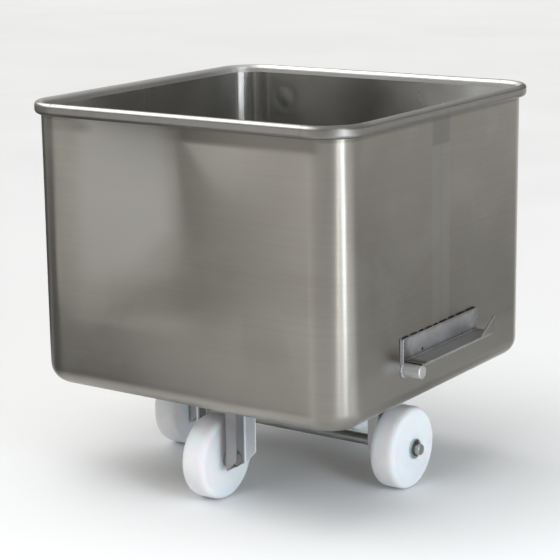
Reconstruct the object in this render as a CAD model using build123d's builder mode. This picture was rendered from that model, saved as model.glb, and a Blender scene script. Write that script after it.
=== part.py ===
"""Tub trolley: a square stainless tub with a tube rim, two lifting lugs and four nylon wheels.

Millimetres, +Z up. X runs along the main axle, -Y is the front. The origin lies on the floor,
under the middle of the tub.
"""

import os
from math import sqrt

from build123d import *
from build123d.topology import SkipClean

# Tub
TUB_WIDTH = 650.0
TUB_LENGTH = 655.0
OVERALL_HEIGHT = 700.0
FLOOR_CLEARANCE = 190.0
SHEET = 2.0
CORNER_RADIUS = 65.0
BOTTOM_RADIUS = 34.0
PAN_UPSTAND = 12.0
SEAM_Y = -8.0

# Rim tube: flat-sided, standing out from the walls and flush with them inside
RIM_HEIGHT = 22.0
RIM_WIDTH = 15.0
RIM_WALL = 1.5
WELD_GAP = 0.1

# Wheels
WHEEL_DIAMETER = 150.0
WHEEL_WIDTH = 50.0
WHEEL_SHOULDER = 10.0
WHEEL_RIM_FACE = 5.0
HUB_LENGTH = 52.0
HUB_RADIUS = 42.0
HUB_BORE = 30.0
TRACK = 486.0
END_WHEEL_INSET = 97.5
END_WHEEL_LIFT = 5.0

# Axles and what runs on them
AXLE_DIAMETER = 20.0
AXLE_TAIL = 10.0
FORK_AXLE_TAIL = 2.5
AXLE_CHAMFER = 1.5
AXLE_FIT = 0.05
SIDE_PLAY = 0.3
WASHER_DIAMETER = 36.0
WASHER_THICKNESS = 3.0
SPACER_DIAMETER = 30.0
RING_BAND = 3.0
RING_THICKNESS = 1.5
RING_GAP = 4.0
RING_EAR_RADIUS = 3.0
RING_EAR_HOLE = 1.1
GROOVE_DEPTH = 0.75
GROOVE_PLAY = 0.1

# Roller bearings
ROLLER_COUNT = 10
ROLLER_CLEARANCE = 0.05
CAGE_END = 6.0
CAGE_RECESS = 0.5
CAGE_CLEARANCE = 0.4
POCKET_CLEARANCE = 0.2

# Channel legs and brackets
LEG_WIDTH = 60.0
LEG_FLANGE = 24.0
LEG_SHEET = 3.0
LEG_BEND = 1.5
LEG_BEVEL = 22.0
FORK_GAP = 80.0
FORK_DROP = 13.0
CUT_BACK = 4.0
CUT_RISE = 58.0
FOOT_REACH = 22.0
FOOT_RISE = 18.0
BRACKET_DROP = 24.0
PAD_THICKNESS = 3.0
PAD_MARGIN = 8.0
PAD_CORNER = 8.0

# Lifting lugs
LUG_LENGTH = 260.0
LUG_FRONT = -142.0
LUG_BASE = 275.0
LUG_HEIGHT = 43.0
LUG_SHELF = 40.0
LUG_SHEET = 4.0
LUG_BEND = 2.0
STOP_LENGTH = 47.0
STOP_HEIGHT = 27.5
PIN_DIAMETER = 24.0
PIN_LENGTH = 36.0
PIN_CHAMFER = 1.5
PIN_WELD = 4.0

# Worked out from the sizes above
RIM_END_RADIUS = RIM_WIDTH / 2
RIM_OUTSET = RIM_END_RADIUS - SHEET
RIM_Z = OVERALL_HEIGHT - RIM_HEIGHT / 2
RIM_LOW_CENTRE = OVERALL_HEIGHT - RIM_HEIGHT + RIM_END_RADIUS
RIM_X = TUB_WIDTH / 2 + RIM_OUTSET
RIM_Y = TUB_LENGTH / 2 + RIM_OUTSET
CORNER_X = TUB_WIDTH / 2 - CORNER_RADIUS
CORNER_Y = TUB_LENGTH / 2 - CORNER_RADIUS
PAN_TOP = FLOOR_CLEARANCE + BOTTOM_RADIUS + PAN_UPSTAND
WALL_TOP = RIM_LOW_CENTRE - sqrt(RIM_END_RADIUS**2 - RIM_OUTSET**2) - WELD_GAP
LUG_REAR = LUG_FRONT + LUG_LENGTH
SHELF_FRONT = LUG_FRONT + PIN_DIAMETER / 2
LIFT_FRONT = LUG_FRONT + PIN_DIAMETER + PIN_WELD
SHELF_TOP = LUG_BASE + LUG_SHEET
WHEEL_RADIUS = WHEEL_DIAMETER / 2
END_WHEEL_REACH = TUB_LENGTH / 2 - END_WHEEL_INSET
AXLE_RADIUS = AXLE_DIAMETER / 2
BORE_RADIUS = HUB_BORE / 2
LEG_TOP = FLOOR_CLEARANCE - PAD_THICKNESS
FORK_AXLE_Z = WHEEL_RADIUS + END_WHEEL_LIFT
HUB_END = HUB_LENGTH / 2
WASHER_START = TRACK / 2 + HUB_END + SIDE_PLAY
BRACKET_BACK = TRACK / 2 - HUB_END - SIDE_PLAY - WASHER_THICKNESS
MAIN_RING_X = WASHER_START + WASHER_THICKNESS + GROOVE_PLAY / 2
FORK_RING_X = FORK_GAP / 2 + LEG_SHEET + GROOVE_PLAY / 2
MAIN_AXLE_END = MAIN_RING_X + RING_THICKNESS + AXLE_TAIL
FORK_AXLE_END = FORK_RING_X + RING_THICKNESS + FORK_AXLE_TAIL
SIDE_CENTRES = {"left": (-TRACK / 2, 0, WHEEL_RADIUS), "right": (TRACK / 2, 0, WHEEL_RADIUS)}
END_CENTRES = {"front": (0, -END_WHEEL_REACH, FORK_AXLE_Z), "rear": (0, END_WHEEL_REACH, FORK_AXLE_Z)}
MAIN_CENTRE = (0, 0, WHEEL_RADIUS)

os.makedirs("parts", exist_ok=True)


def keep(builder, name):
    """Label a finished piece and write it."""
    builder.part.label = name
    export_step(builder.part, f"parts/{name}.step")


def across(centre, x):
    """Plane square to an axle, at a distance x along it from the axle's centre."""
    return Plane(origin=(centre[0] + x, centre[1], centre[2]), x_dir=(0, 1, 0), z_dir=(1, 0, 0))


# Walls: two U-shaped sheets that meet at a seam near the middle of each side.
for shell_name, side in (("front_shell", -1), ("rear_shell", 1)):
    with BuildPart() as shell:
        with BuildSketch(Plane.XY.offset(PAN_TOP)):
            RectangleRounded(TUB_WIDTH, TUB_LENGTH, CORNER_RADIUS)
            RectangleRounded(
                TUB_WIDTH - 2 * SHEET, TUB_LENGTH - 2 * SHEET, CORNER_RADIUS - SHEET, mode=Mode.SUBTRACT
            )
            with Locations((0, SEAM_Y + side * TUB_LENGTH)):
                Rectangle(TUB_WIDTH, 2 * TUB_LENGTH, mode=Mode.INTERSECT)
        extrude(amount=WALL_TOP - PAN_TOP)
    keep(shell, shell_name)

# Floor: a pressed pan with a large radius all round.
with BuildPart() as floor_pan:
    with BuildSketch(Plane.XY.offset(FLOOR_CLEARANCE)):
        RectangleRounded(TUB_WIDTH, TUB_LENGTH, CORNER_RADIUS)
    extrude(amount=PAN_TOP - FLOOR_CLEARANCE)
    fillet(floor_pan.faces().sort_by(Axis.Z)[0].edges(), radius=BOTTOM_RADIUS)
    offset(amount=-SHEET, openings=floor_pan.faces().sort_by(Axis.Z)[-1])
keep(floor_pan, "floor_pan")


def rim_section():
    """Section of the rim tube, upright along the x direction of the sketch that is open."""
    SlotOverall(RIM_HEIGHT, RIM_WIDTH)
    SlotOverall(RIM_HEIGHT - 2 * RIM_WALL, RIM_WIDTH - 2 * RIM_WALL, mode=Mode.SUBTRACT)


# Rim: straight tubes along the four walls, in two lengths at the sides, which meet over the seam.
for rim_name, origin, direction, length in (
    ("rim_front", (-CORNER_X, -RIM_Y, RIM_Z), (1, 0, 0), 2 * CORNER_X),
    ("rim_rear", (-CORNER_X, RIM_Y, RIM_Z), (1, 0, 0), 2 * CORNER_X),
    ("rim_left_front", (-RIM_X, SEAM_Y, RIM_Z), (0, -1, 0), CORNER_Y + SEAM_Y),
    ("rim_left_rear", (-RIM_X, SEAM_Y, RIM_Z), (0, 1, 0), CORNER_Y - SEAM_Y),
    ("rim_right_front", (RIM_X, SEAM_Y, RIM_Z), (0, -1, 0), CORNER_Y + SEAM_Y),
    ("rim_right_rear", (RIM_X, SEAM_Y, RIM_Z), (0, 1, 0), CORNER_Y - SEAM_Y),
):
    with BuildPart() as rim_tube:
        with BuildSketch(Plane(origin=origin, x_dir=(0, 0, 1), z_dir=direction)):
            rim_section()
        extrude(amount=length)
    keep(rim_tube, rim_name)

# Rim: quarter bends at the four corners, each turning on from the direction it starts in.
for bend_name, corner, start in (
    ("rim_corner_rear_right", (CORNER_X, CORNER_Y, RIM_Z), (1, 0, 0)),
    ("rim_corner_rear_left", (-CORNER_X, CORNER_Y, RIM_Z), (0, 1, 0)),
    ("rim_corner_front_left", (-CORNER_X, -CORNER_Y, RIM_Z), (-1, 0, 0)),
    ("rim_corner_front_right", (CORNER_X, -CORNER_Y, RIM_Z), (0, -1, 0)),
):
    with BuildPart() as rim_bend:
        with BuildSketch(Plane(origin=corner, x_dir=(0, 0, 1), z_dir=(start[1], -start[0], 0))):
            with Locations((0, -CORNER_RADIUS - RIM_OUTSET)):
                rim_section()
        revolve(axis=Axis(corner, (0, 0, 1)), revolution_arc=90)
    keep(rim_bend, bend_name)

# Lifting lug: upright, shelf and a three-cornered stop, bent from one sheet. The shelf starts on the
# pin's top line. Behind the pin its underside is a face of its own, where the arm of a lift bears.
with SkipClean(), BuildPart() as lug_right:
    for start, end in ((LUG_FRONT, LIFT_FRONT), (LIFT_FRONT, LUG_REAR)):
        with BuildSketch(Plane.XZ.offset(-start)) as lug_section:
            with Locations((TUB_WIDTH / 2, LUG_BASE)):
                Rectangle(LUG_SHELF, LUG_HEIGHT, align=(Align.MIN, Align.MIN))
            with Locations((TUB_WIDTH / 2 + LUG_SHEET, SHELF_TOP)):
                Rectangle(LUG_SHELF, LUG_HEIGHT, align=(Align.MIN, Align.MIN), mode=Mode.SUBTRACT)
            base_corners = lug_section.vertices().filter_by_position(Axis.Y, LUG_BASE, LUG_BASE)
            fillet(base_corners.sort_by(Axis.X)[0], radius=LUG_BEND + LUG_SHEET)
            shelf_corners = lug_section.vertices().filter_by_position(Axis.Y, SHELF_TOP, SHELF_TOP)
            fillet(shelf_corners.sort_by(Axis.X)[0], radius=LUG_BEND)
        extrude(amount=start - end)
    with BuildSketch(Plane.XY.offset(LUG_BASE)):
        with Locations((TUB_WIDTH / 2 + LUG_SHEET, LUG_FRONT)):
            Rectangle(LUG_SHELF, SHELF_FRONT - LUG_FRONT, align=(Align.MIN, Align.MIN))
    extrude(amount=LUG_SHEET + LUG_BEND, mode=Mode.SUBTRACT)
    with BuildSketch(Plane.YZ.offset(TUB_WIDTH / 2 + LUG_SHELF - LUG_SHEET)):
        with BuildLine():
            Polyline(
                (LUG_REAR - STOP_LENGTH, SHELF_TOP),
                (LUG_REAR, SHELF_TOP),
                (LUG_REAR, SHELF_TOP + STOP_HEIGHT),
                close=True,
            )
        make_face()
    extrude(amount=LUG_SHEET)
keep(lug_right, "lug_right")

with BuildPart() as lug_left:
    add(mirror(lug_right.part, about=Plane.YZ, mode=Mode.PRIVATE), clean=False)
keep(lug_left, "lug_left")

# Lug pin: a round bar welded to the wall, close under the front end of the shelf.
with BuildPart() as lug_pin_right:
    with BuildSketch(Plane.YZ.offset(TUB_WIDTH / 2)):
        with Locations((LUG_FRONT + PIN_DIAMETER / 2, LUG_BASE - WELD_GAP - PIN_DIAMETER / 2)):
            Circle(PIN_DIAMETER / 2)
    extrude(amount=PIN_LENGTH)
    chamfer(lug_pin_right.faces().sort_by(Axis.X)[-1].edges(), length=PIN_CHAMFER)
keep(lug_pin_right, "lug_pin_right")

with BuildPart() as lug_pin_left:
    mirror(lug_pin_right.part, about=Plane.YZ)
keep(lug_pin_left, "lug_pin_left")


def channel(back, y, outward, axle_z, drop, cut_side=0):
    """Channel leg from the pad down past its axle.

    back is the web's face on the wheel's side, outward the X sign in which the flanges point.
    With a cut_side, the Y sign of that side, the flange there and the web's edge above the axle
    are cut away: what stays is an angle with a foot round the axle.
    """
    bottom = axle_z - drop
    with BuildPart() as leg:
        with BuildSketch(Plane.XY.offset(bottom)) as section:
            with Locations((back + outward * LEG_FLANGE / 2, y)):
                Rectangle(LEG_FLANGE, LEG_WIDTH)
            fillet(section.vertices().filter_by_position(Axis.X, back, back), radius=LEG_BEND + LEG_SHEET)
            with Locations((back + outward * (LEG_SHEET + LEG_FLANGE / 2), y)):
                RectangleRounded(LEG_FLANGE, LEG_WIDTH - 2 * LEG_SHEET, LEG_BEND, mode=Mode.SUBTRACT)
            with Locations((back + outward * LEG_FLANGE, y)):
                Rectangle(2 * LEG_BEND, LEG_WIDTH - 2 * LEG_SHEET, mode=Mode.SUBTRACT)
        extrude(amount=LEG_TOP - bottom)
        with BuildSketch(Plane.XZ.offset(-y)):
            with BuildLine():
                tip = back + outward * LEG_FLANGE
                root = tip - outward * (LEG_FLANGE - LEG_SHEET)
                Polyline((root, bottom), (tip, bottom), (tip, bottom + LEG_BEVEL), close=True)
            make_face()
        extrude(amount=LEG_WIDTH, both=True, mode=Mode.SUBTRACT)
        with BuildSketch(Plane.YZ.offset(back)):
            with Locations((y, axle_z)):
                Circle(AXLE_RADIUS + AXLE_FIT)
        extrude(amount=LEG_FLANGE, both=True, mode=Mode.SUBTRACT)
        if cut_side:
            with BuildSketch(Plane.YZ.offset(back)):
                with BuildLine():
                    clear_y = y + cut_side * LEG_WIDTH
                    cut_y = y - cut_side * CUT_BACK
                    foot_y = y + cut_side * FOOT_REACH
                    Polyline(
                        (clear_y, bottom - LEG_SHEET),
                        (clear_y, LEG_TOP + LEG_SHEET),
                        (cut_y, LEG_TOP + LEG_SHEET),
                        (cut_y, axle_z + CUT_RISE),
                        (foot_y, axle_z + FOOT_RISE),
                        (foot_y, bottom - LEG_SHEET),
                        close=True,
                    )
                make_face()
            extrude(amount=2 * LEG_FLANGE, both=True, mode=Mode.SUBTRACT)
    return leg


def pad(x, y, width, length):
    """Doubler plate under the tub floor, with a margin round what is welded to it."""
    with BuildPart() as plate:
        with BuildSketch(Plane.XY.offset(LEG_TOP)):
            with Locations((x, y)):
                RectangleRounded(width + 2 * PAD_MARGIN, length + 2 * PAD_MARGIN, PAD_CORNER)
        extrude(amount=PAD_THICKNESS)
    return plate


# Forks, front and rear: a channel leg on the right and a slimmer angle leg on the left, both with
# their flanges outward, and their pad.
for end, (_, end_y, _) in END_CENTRES.items():
    leg_right = channel(FORK_GAP / 2, end_y, 1, FORK_AXLE_Z, FORK_DROP)
    keep(leg_right, f"{end}_leg_right")
    end_side = 1 if end_y > 0 else -1
    leg_left = channel(-FORK_GAP / 2, end_y, -1, FORK_AXLE_Z, FORK_DROP, end_side)
    keep(leg_left, f"{end}_leg_left")
    keep(pad(0, end_y, FORK_GAP + 2 * LEG_FLANGE, LEG_WIDTH), f"pad_{end}")

# Brackets of the main axle: channels with their flanges inward, and their pads.
for side_name, sign in (("left", -1), ("right", 1)):
    keep(channel(sign * BRACKET_BACK, 0, -sign, WHEEL_RADIUS, BRACKET_DROP), f"bracket_{side_name}")
    keep(pad(sign * (BRACKET_BACK - LEG_FLANGE / 2), 0, LEG_FLANGE, LEG_WIDTH), f"pad_{side_name}")


def axle(centre, end, ring_x):
    """Fixed axle with chamfered ends and a groove for a retaining ring near each end."""
    with BuildPart() as bar:
        with BuildSketch(across(centre, 0)):
            Circle(AXLE_RADIUS)
        extrude(amount=end, both=True)
        chamfer(bar.edges().filter_by(GeomType.CIRCLE), length=AXLE_CHAMFER)
        for groove_x in (ring_x - GROOVE_PLAY / 2, -ring_x - RING_THICKNESS - GROOVE_PLAY / 2):
            with BuildSketch(across(centre, groove_x)):
                Circle(AXLE_DIAMETER)
                Circle(AXLE_RADIUS - GROOVE_DEPTH, mode=Mode.SUBTRACT)
            extrude(amount=RING_THICKNESS + GROOVE_PLAY, mode=Mode.SUBTRACT)
    return bar


keep(axle(MAIN_CENTRE, MAIN_AXLE_END, MAIN_RING_X), "main_axle")
for end, centre in END_CENTRES.items():
    keep(axle(centre, FORK_AXLE_END, FORK_RING_X), f"{end}_axle")


def sleeves(centre, starts, length, diameter):
    """Round sleeves on an axle, each running from its start towards +X."""
    with BuildPart() as group:
        for start in starts:
            with BuildSketch(across(centre, start)):
                Circle(diameter / 2)
                Circle(AXLE_RADIUS + AXLE_FIT, mode=Mode.SUBTRACT)
            extrude(amount=length)
    return group


# Spacers between the end wheels' hubs and their legs, and washers on both sides of the side wheels.
SPACER_LENGTH = FORK_GAP / 2 - HUB_END - SIDE_PLAY
for end, centre in END_CENTRES.items():
    spacer_starts = (-FORK_GAP / 2, FORK_GAP / 2 - SPACER_LENGTH)
    keep(sleeves(centre, spacer_starts, SPACER_LENGTH, SPACER_DIAMETER), f"{end}_spacers")
washer_starts = [BRACKET_BACK, WASHER_START]
washer_starts += [-start - WASHER_THICKNESS for start in washer_starts]
keep(sleeves(MAIN_CENTRE, washer_starts, WASHER_THICKNESS, WASHER_DIAMETER), "axle_washers")

# Retaining rings: open rings with two holed ears at the top, one near each axle end.
RING_INNER = AXLE_RADIUS - GROOVE_DEPTH + AXLE_FIT
RING_OUTER = AXLE_RADIUS + RING_BAND
EAR_X = RING_GAP / 2 + RING_EAR_RADIUS / 2
EAR_Y = RING_OUTER
ring_places = [(MAIN_CENTRE, MAIN_RING_X)]
ring_places += [(centre, FORK_RING_X) for centre in END_CENTRES.values()]
with BuildPart() as retaining_rings:
    for centre, ring_x in ring_places:
        for ring_start in (-ring_x - RING_THICKNESS, ring_x):
            with BuildSketch(across(centre, ring_start)):
                Circle(RING_OUTER)
                with Locations((-EAR_X, EAR_Y), (EAR_X, EAR_Y)):
                    Circle(RING_EAR_RADIUS)
                Circle(RING_INNER, mode=Mode.SUBTRACT)
                with Locations((0, EAR_Y)):
                    Rectangle(RING_GAP, RING_OUTER, mode=Mode.SUBTRACT)
                with Locations((-EAR_X - RING_GAP / 4, EAR_Y), (EAR_X + RING_GAP / 4, EAR_Y)):
                    Circle(RING_EAR_HOLE, mode=Mode.SUBTRACT)
            extrude(amount=RING_THICKNESS)
keep(retaining_rings, "retaining_rings")

# Wheels: nylon with round shoulders and a shallow dish round the hub, on a cage of rollers.
ROLLER_PITCH = (AXLE_RADIUS + BORE_RADIUS) / 2
ROLLER_RADIUS = (BORE_RADIUS - AXLE_RADIUS) / 2 - ROLLER_CLEARANCE
CAGE_LENGTH = HUB_LENGTH - 2 * CAGE_RECESS
POCKET_LENGTH = CAGE_LENGTH - 2 * CAGE_END
ROLLER_LENGTH = POCKET_LENGTH - 2 * POCKET_CLEARANCE
FACE_OUTER = WHEEL_RADIUS - WHEEL_SHOULDER
FACE_INNER = FACE_OUTER - WHEEL_RIM_FACE
for place, centre in {**SIDE_CENTRES, **END_CENTRES}.items():
    with BuildPart() as wheel:
        with BuildSketch(Plane(origin=centre, x_dir=(1, 0, 0), z_dir=(0, -1, 0))) as profile:
            with BuildLine():
                half = WHEEL_WIDTH / 2
                Polyline(
                    (-HUB_END, BORE_RADIUS),
                    (HUB_END, BORE_RADIUS),
                    (HUB_END, HUB_RADIUS),
                    (half, FACE_INNER),
                    (half, WHEEL_RADIUS),
                    (-half, WHEEL_RADIUS),
                    (-half, FACE_INNER),
                    (-HUB_END, HUB_RADIUS),
                    close=True,
                )
            make_face()
            fillet(profile.vertices().group_by(Axis.Y)[-1], radius=WHEEL_SHOULDER)
        revolve(axis=Axis(centre, (1, 0, 0)))
    keep(wheel, f"wheel_{place}")

    with BuildPart() as roller_cage:
        with BuildSketch(across(centre, -CAGE_LENGTH / 2)):
            Circle(BORE_RADIUS - CAGE_CLEARANCE)
            Circle(AXLE_RADIUS + CAGE_CLEARANCE, mode=Mode.SUBTRACT)
        extrude(amount=CAGE_LENGTH)
        with BuildSketch(across(centre, -POCKET_LENGTH / 2)):
            with PolarLocations(ROLLER_PITCH, ROLLER_COUNT):
                Circle(ROLLER_RADIUS + POCKET_CLEARANCE)
        extrude(amount=POCKET_LENGTH, mode=Mode.SUBTRACT)
    keep(roller_cage, f"roller_cage_{place}")

    with BuildPart() as rollers:
        with BuildSketch(across(centre, -ROLLER_LENGTH / 2)):
            with PolarLocations(ROLLER_PITCH, ROLLER_COUNT):
                Circle(ROLLER_RADIUS)
        extrude(amount=ROLLER_LENGTH)
    keep(rollers, f"rollers_{place}")
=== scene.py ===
# %% [markdown]
# # A tub trolley in stainless steel
# The real object is a square tub of brushed sheet with a tube rim. It stands on four white
# nylon wheels, two on a through axle and one in a fork at each end. The solid model gives every
# size and place, so it is loaded first and never moved. This lesson adds the looks around it.

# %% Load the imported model
import math
from types import SimpleNamespace

import bpy
import numpy as np
from mathutils import Matrix, Vector


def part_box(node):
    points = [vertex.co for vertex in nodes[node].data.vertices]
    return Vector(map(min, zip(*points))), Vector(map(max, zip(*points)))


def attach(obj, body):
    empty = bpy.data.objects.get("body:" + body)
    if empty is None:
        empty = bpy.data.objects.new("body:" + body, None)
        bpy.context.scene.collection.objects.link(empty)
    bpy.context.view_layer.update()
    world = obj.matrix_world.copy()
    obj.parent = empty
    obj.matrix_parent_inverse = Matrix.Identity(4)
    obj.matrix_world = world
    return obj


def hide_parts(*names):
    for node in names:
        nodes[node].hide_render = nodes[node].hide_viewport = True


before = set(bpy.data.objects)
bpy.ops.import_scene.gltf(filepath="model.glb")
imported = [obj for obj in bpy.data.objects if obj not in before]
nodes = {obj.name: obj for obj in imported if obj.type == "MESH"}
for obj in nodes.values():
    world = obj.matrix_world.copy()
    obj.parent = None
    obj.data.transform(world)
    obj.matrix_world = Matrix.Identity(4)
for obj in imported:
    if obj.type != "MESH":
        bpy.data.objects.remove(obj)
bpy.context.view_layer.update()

# %% [markdown]
# ## The camera
# The photograph looks at the near right corner from a little above, through a long lens. A camera
# could be aimed with a constraint, but its yaw, pitch and roll are known here, so its three axes
# are written straight into its matrix.

# %% Camera
CAMERA_AT = Vector((1.8197, -2.6624, 1.1107))
YAW, PITCH, ROLL = math.radians(34.610), math.radians(13.233), math.radians(-0.855)
LENS, SENSOR, FAR_CLIP = 115.97, 36.0, 200.0

look = Vector((-math.sin(YAW) * math.cos(PITCH), math.cos(YAW) * math.cos(PITCH), -math.sin(PITCH)))
level = look.cross(Vector((0, 0, 1))).normalized()
rise = level.cross(look)
right = level * math.cos(ROLL) + rise * math.sin(ROLL)
up = rise * math.cos(ROLL) - level * math.sin(ROLL)
camera = bpy.data.objects.new("camera", bpy.data.cameras.new("camera"))
camera.data.lens, camera.data.sensor_width = LENS, SENSOR
camera.data.sensor_fit = "HORIZONTAL"
camera.data.clip_end = FAR_CLIP
camera.matrix_world = Matrix((right, up, -look)).transposed().to_4x4()
camera.matrix_world.translation = CAMERA_AT
bpy.context.scene.collection.objects.link(camera)
bpy.context.scene.camera = camera
bpy.context.scene.view_settings.view_transform = "Standard"
print("camera:", tuple(round(v, 3) for v in CAMERA_AT), "lens", LENS, "mm")

# %% [markdown]
# ## The floor
# The end wheels of such a trolley sit a few millimetres higher than the middle pair, so it rocks
# and rests on three wheels. The solid model stays level, and the floor takes up that small slope
# instead: it passes under the middle wheels and under the front one.

# %% Floor
FLOOR_REACH = 40.0
wheel_low, wheel_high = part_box("wheel_front")
END_WHEEL_Y = (wheel_low.y + wheel_high.y) / 2
FLOOR_SLOPE = wheel_low.z / END_WHEEL_Y


def link_mesh(name, points, faces):
    """A new mesh object from points in metres and faces by index, shaded smooth."""
    mesh = bpy.data.meshes.new(name)
    mesh.from_pydata([tuple(p) for p in points], [], [tuple(f) for f in faces])
    mesh.update()
    mesh.polygons.foreach_set("use_smooth", [True] * len(mesh.polygons))
    piece = bpy.data.objects.new(name, mesh)
    bpy.context.scene.collection.objects.link(piece)
    return piece


floor_points = [
    (x * FLOOR_REACH, y * FLOOR_REACH, FLOOR_SLOPE * y * FLOOR_REACH)
    for x, y in ((-1, -1), (1, -1), (1, 1), (-1, 1))
]
floor = link_mesh("floor", floor_points, [(0, 1, 2, 3)])
print("floor: slope", round(FLOOR_SLOPE, 4))

# %% [markdown]
# ## Arithmetic with nodes
# The world and every finish are made of shader nodes. A finish is a stack of masks, such as near a
# seam, below the rim or on the front wall, and each step of a mask is a Math node. Hundreds of
# lines that place and link nodes would hide the idea. So a small class stands for a node's output,
# and plain arithmetic on it makes the nodes.

# %% Fields


def math_node(operation):
    """A method that puts a field, and what it meets, through a Math node."""
    return lambda *values: maths(operation, *values)


class Field:
    """The output of a node. Arithmetic on it adds Math nodes to its node tree."""

    __abs__ = math_node("ABSOLUTE")
    __add__ = math_node("ADD")
    __sub__ = math_node("SUBTRACT")
    __mul__ = math_node("MULTIPLY")
    __truediv__ = math_node("DIVIDE")
    __gt__ = math_node("GREATER_THAN")
    __lt__ = math_node("LESS_THAN")

    def __init__(self, socket):
        self.socket = socket
        self.tree = socket.id_data

    def __rsub__(self, other):
        return maths("SUBTRACT", other, self)


def feed(socket, value):
    """Link a field to a socket, or set a plain number, vector or colour on it."""
    if isinstance(value, Field):
        socket.id_data.links.new(value.socket, socket)
    elif socket.type == "RGBA":
        socket.default_value = (*value, 1.0)
    else:
        socket.default_value = value


def add(tree, kind, take=None, settings=None, **values):
    """A node in a tree, with what is fed to its sockets. Returns the output to take, or the node."""
    node = tree.nodes.new("ShaderNode" + kind)
    for key, value in (settings or {}).items():
        setattr(node, key, value)
    for key, value in values.items():
        feed(node.inputs[key.replace("_", " ")], value)
    return node if take is None else Field(node.outputs[take])


def maths(operation, *values, clamp=False):
    """A Math node on numbers and fields, of which at least one is a field."""
    tree = next(v.tree for v in values if isinstance(v, Field))
    node = add(tree, "Math", settings={"operation": operation, "use_clamp": clamp})
    for socket, value in zip(node.inputs, values):
        feed(socket, value)
    return Field(node.outputs[0])


print("fields ready")

# %% Ranges, mixes and patches


def stretch(value, low, high, to_low=0.0, to_high=1.0):
    """A smooth Map Range of a field."""
    return add(value.tree, "MapRange", "Result", {"interpolation_type": "SMOOTHSTEP"}, Value=value,
               From_Min=low, From_Max=high, To_Min=to_low, To_Max=to_high)


def mix_colours(factor, a, b):
    """A colour that is a where the factor is 0 and b where it is 1."""
    node = add(factor.tree, "Mix", settings={"data_type": "RGBA"})
    for slot, value in zip((0, 6, 7), (factor, a, b)):
        feed(node.inputs[slot], value)
    return Field(node.outputs[2])


def patch(a, b, centre, half, amount, full=0.0):
    """A soft oval on two coordinates: 0 from its edge on, and the amount in its middle."""
    off_a, off_b = ((value - middle) / reach for value, middle, reach in zip((a, b), centre, half))
    return stretch(maths("SQRT", off_a * off_a + off_b * off_b), 1.0, full, 0.0, amount)


print("ranges, mixes and patches ready")

# %% [markdown]
# ## Soft studio light
# Brushed steel shows what stands round it, so the lamps matter as much as the steel. Softboxes
# hang over the left, the front and high above, and a dim one stands behind. A tall strip at the
# right puts the white line on the near corner, a thin strip next to it gives the second, fainter
# line, and a short strip lights the far corner inside the tub. Most of these are for reflections
# alone. A side fill, a wash on the floor, a wide sun lamp and a pale world give the plain light.
# Each lamp is given by its brightness, and its power follows from its size.

# %% Lamps
WATTS_PER_BRIGHTNESS = 4.0
WHITE, COOL, BLUISH = (1.0, 1.0, 1.0), (0.96, 0.98, 1.0), (0.82, 0.90, 1.0)
# Each row: name, place, the point it faces, width and height, brightness where 1 is as bright as
# white paper, tint, and the kind of light that it leaves out.
LAMPS = (
    ("softbox_left", (-1.75, -0.55, 2.50), (0, 0, 0.6), (3.2, 2.1), 3.0, WHITE, "diffuse"),
    ("strip_right", (1.42, -0.69, 0.80), (0.28, -0.28, 0.80), (0.14, 1.56), 5.3, BLUISH, None),
    ("strip_near", (1.291, -0.80, 0.62), (0.28, -0.28, 0.62), (0.05, 1.20), 3.8, WHITE, None),
    ("softbox_front", (-0.72, -2.80, 2.52), (0.1, 0.2, 0.5), (2.0, 1.1), 2.05, COOL, "diffuse"),
    ("softbox_high", (-0.95, -1.45, 3.20), (0, 0.1, 0.6), (1.3, 1.5), 1.9, WHITE, "diffuse"),
    ("softbox_back", (-2.20, 3.20, 0.90), (0, 0, 0.70), (2.4, 0.9), 0.55, (1.0, 0.98, 0.94), "diffuse"),
    ("inside_strip", (0.28, 0.155, 0.82), (-0.312, 0.298, 0.64), (0.035, 0.16), 0.85, (0.88, 0.94, 1.0),
     "diffuse"),
    ("side_fill", (3.1, -0.9, 0.95), (0.2, 0.0, 0.1), (2.0, 1.2), 3.7, (0.78, 0.90, 1.0), "glossy"),
    ("floor_wash", (-0.25, -2.90, 1.70), (-0.25, -2.901, 0), (1.4, 1.2), 1.8, WHITE, "glossy"),
)
STRIP_TURNS = {"strip_right": 17, "strip_near": -8}
INSIDE_SPREAD = 22

lamps = {}
for name, at, target, (width, height), brightness, colour, left_out in LAMPS:
    data = bpy.data.lights.new(name, "AREA")
    data.shape, data.size, data.size_y = "RECTANGLE", width, height
    data.energy = WATTS_PER_BRIGHTNESS * brightness * width * height
    data.color = colour
    lamp = bpy.data.objects.new(name, data)
    lamp.location = at
    lamp.rotation_euler = (Vector(target) - Vector(at)).to_track_quat("-Z", "Y").to_euler()
    lamp.visible_camera = False
    if left_out:
        setattr(lamp, "visible_" + left_out, False)
    bpy.context.scene.collection.objects.link(lamp)
    lamps[name] = lamp
for name, turn in STRIP_TURNS.items():
    lamps[name].rotation_euler.rotate_axis("Z", math.radians(turn))
lamps["inside_strip"].data.spread = math.radians(INSIDE_SPREAD)
print("lamps:", {name: round(lamp.data.energy, 1) for name, lamp in lamps.items()}, "W")

# %% Sun and world
SUN_POWER, SUN_ANGLE, SUN_TILT = 1.6, 70, (12, -16, 0)
HORIZON, ZENITH = (0.190, 0.190, 0.187, 1), (0.570, 0.570, 0.561, 1)
HORIZON_AT, ZENITH_AT = -0.05, 0.8

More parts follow.
